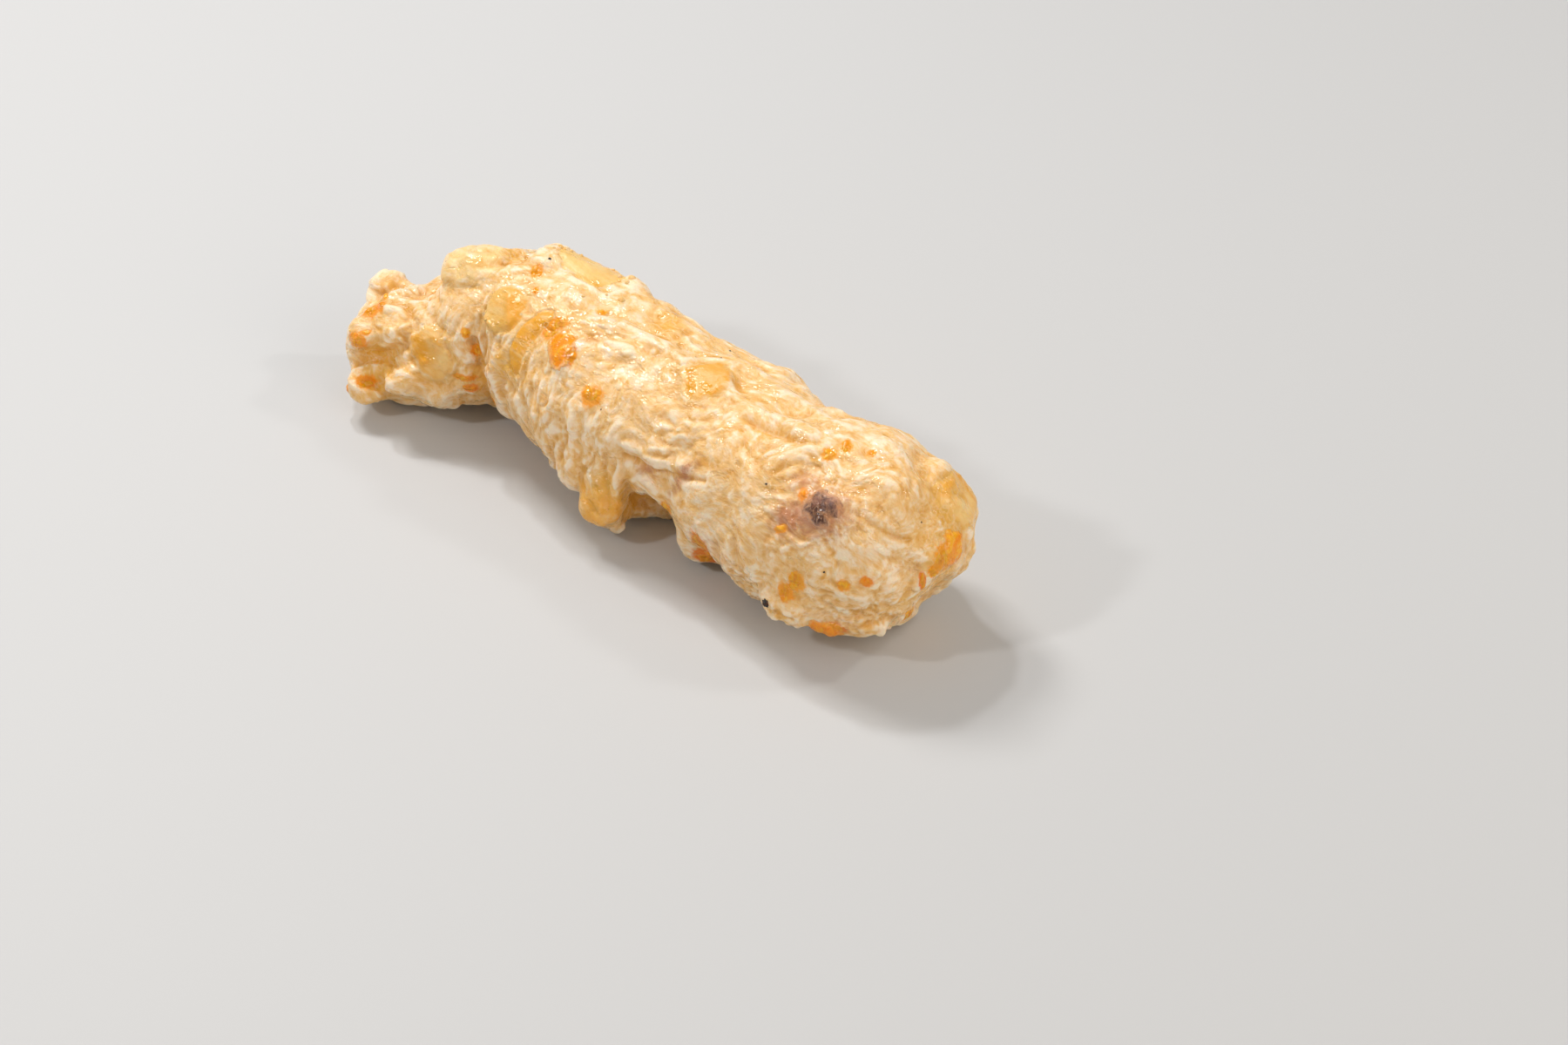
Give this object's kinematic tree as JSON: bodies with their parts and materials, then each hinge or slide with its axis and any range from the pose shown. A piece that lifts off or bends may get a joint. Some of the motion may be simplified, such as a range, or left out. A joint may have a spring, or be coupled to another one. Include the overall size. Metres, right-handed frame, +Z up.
{
  "type": "fish cake",
  "caption": "Hand-shaped fried fish cake: a crooked stick of fish paste, blunt at one end and lobed at the thin one, with onion, carrot and octopus set in its wrinkled skin.",
  "frame": {"origin": "on the surface that the cake lies on, under the middle of its box", "axes": "+X along the cake from its thin lobed tail to its blunt head, +Z up"},
  "size_m": [0.1312, 0.0418, 0.0332],
  "materials": {
    "paste": "fried fish paste with a thin, oily, wrinkled skin",
    "onion": "cooked onion, moist and see-through",
    "carrot": "cooked carrot, moist",
    "octopus": "cooked octopus, moist"
  },
  "bodies": {
    "root": {"fish_cake": "paste", "onion_slab": "onion", "onion_bulge": "onion", "onion_chunk": "onion", "onion_strip": "onion", "onion_wedge": "onion", "onion_patch": "onion", "onion_end": "onion", "onion_loop": "onion", "carrot_block": "carrot", "carrot_end": "carrot", "carrot_low": "carrot", "octopus_piece": "octopus"}
  },
  "joints": []
}
